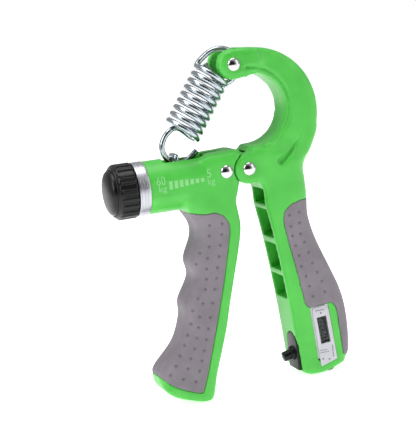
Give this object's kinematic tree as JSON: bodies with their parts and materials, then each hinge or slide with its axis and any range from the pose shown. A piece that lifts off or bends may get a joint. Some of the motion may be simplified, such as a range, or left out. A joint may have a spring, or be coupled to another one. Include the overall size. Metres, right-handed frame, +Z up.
{
  "type": "hand dynamometer",
  "caption": "Adjustable spring hand gripper with a squeeze counter: two handles on a pivot, a tension spring and a screw knob that sets the load.",
  "frame": {"origin": "on the floor under the middle of the object's box, with both feet of the handles standing on the floor", "axes": "+Z up, +Y across the hand from the counter's side to the far side, +X along the barrel from the knob towards the rear handle"},
  "size_m": [0.1101, 0.0272, 0.1665],
  "materials": {
    "green_plastic": "satin moulded green plastic",
    "grip_rubber": "matt grey rubber with small dimples",
    "black_plastic": "satin black plastic",
    "satin_aluminium": "turned satin aluminium",
    "chromed_steel": "polished chromed steel",
    "spring_steel": "bright zinc-plated spring wire",
    "screw_steel": "turned steel",
    "brass": "machined brass",
    "nylon": "natural nylon",
    "label_silver": "silver printed plate",
    "housing_plastic": "pale grey plastic",
    "lcd_grey": "reflective liquid crystal panel",
    "clear_window": "clear window",
    "board_green": "printed circuit board"
  },
  "bodies": {
    "front_handle": {"front_handle": "green_plastic", "front_grip": "grip_rubber", "barrel_ring": "satin_aluminium", "end_bush": "nylon", "lock_rivet": "chromed_steel", "pivot_rivet": "chromed_steel", "pivot_washers": "nylon"},
    "knob": {"adjust_knob": "black_plastic", "knob_cap": "black_plastic", "adjust_screw": "screw_steel", "thrust_washer": "screw_steel"},
    "traveller": {"traveller_nut": "brass", "traveller_staple": "spring_steel"},
    "spring_hook": {"spring_lower_hook": "spring_steel"},
    "spring_body": {"spring_coil": "spring_steel"},
    "spring_eye": {"spring_upper_hook": "spring_steel"},
    "rear_handle": {"rear_handle": "green_plastic", "rear_grip": "grip_rubber", "spring_rivet": "chromed_steel", "spring_sleeve": "nylon", "counter_housing": "housing_plastic", "counter_label": "label_silver", "lcd_panel": "lcd_grey", "lcd_lens": "clear_window", "counter_board": "board_green", "button_cell": "screw_steel", "battery_contacts": "brass", "battery_cover": "green_plastic", "cover_screw": "screw_steel", "trigger_plate": "black_plastic", "plunger_spring": "spring_steel", "trigger_switch": "black_plastic", "reset_switch": "black_plastic"},
    "plunger": {"trigger_plunger": "black_plastic"},
    "reset": {"reset_button": "black_plastic"}
  },
  "joints": [
    {"name": "squeeze", "type": "hinge", "parent": "front_handle", "child": "rear_handle", "pos_m": [0.01436, 0, 0.10701], "axis": [0, 1, 0], "range_deg": [0, 20], "stiffness_Nm_per_rad": 0.4, "springref_deg": -8.59},
    {"name": "knob_turn", "type": "hinge", "parent": "front_handle", "child": "knob", "pos_m": [-0.03573, 0, 0.10625], "axis": [-0.9988, 0, 0.0487], "range_deg": [0, 2881]},
    {"name": "nut_travel", "type": "slide", "parent": "front_handle", "child": "traveller", "axis": [0.9988, 0, -0.0487], "range_m": [0, 0.012]},
    {"name": "hook_lean", "type": "hinge", "parent": "traveller", "child": "spring_hook", "pos_m": [-0.01841, 0, 0.11872], "axis": [0, 1, 0], "range_deg": [0, 17.31], "deforming": ["spring_lower_hook"]},
    {"name": "coil_lean", "type": "hinge", "parent": "spring_hook", "child": "spring_body", "pos_m": [-0.0039, 0, 0.09799], "axis": [0, 1, 0], "range_deg": [-9.01, 0], "deforming": ["spring_coil"]},
    {"name": "spring_stretch", "type": "slide", "parent": "spring_body", "child": "spring_eye", "axis": [0.6571, 0, 0.7538], "range_m": [0, 0.01051], "deforming": ["spring_upper_hook"]},
    {"name": "trigger_press", "type": "slide", "parent": "rear_handle", "child": "plunger", "axis": [0.9842, 0, 0.1772], "range_m": [0, 0.0026], "stiffness_N_per_m": 300, "springref_m": -0.001, "deforming": ["plunger_spring"]},
    {"name": "reset_press", "type": "slide", "parent": "rear_handle", "child": "reset", "axis": [-0.3617, 0, 0.9323], "range_m": [0, 0.0004], "stiffness_N_per_m": 600, "springref_m": -0.0005}
  ],
  "couplings": [
    {"joint": "knob_turn", "follows": "nut_travel", "rad_per_m": 4188.8},
    {"joint": "hook_lean", "follows": "squeeze", "ratio": 0.865},
    {"joint": "coil_lean", "follows": "nut_travel", "rad_per_m": -13.09},
    {"joint": "spring_stretch", "follows": "squeeze", "m_per_rad": 0.03008}
  ]
}
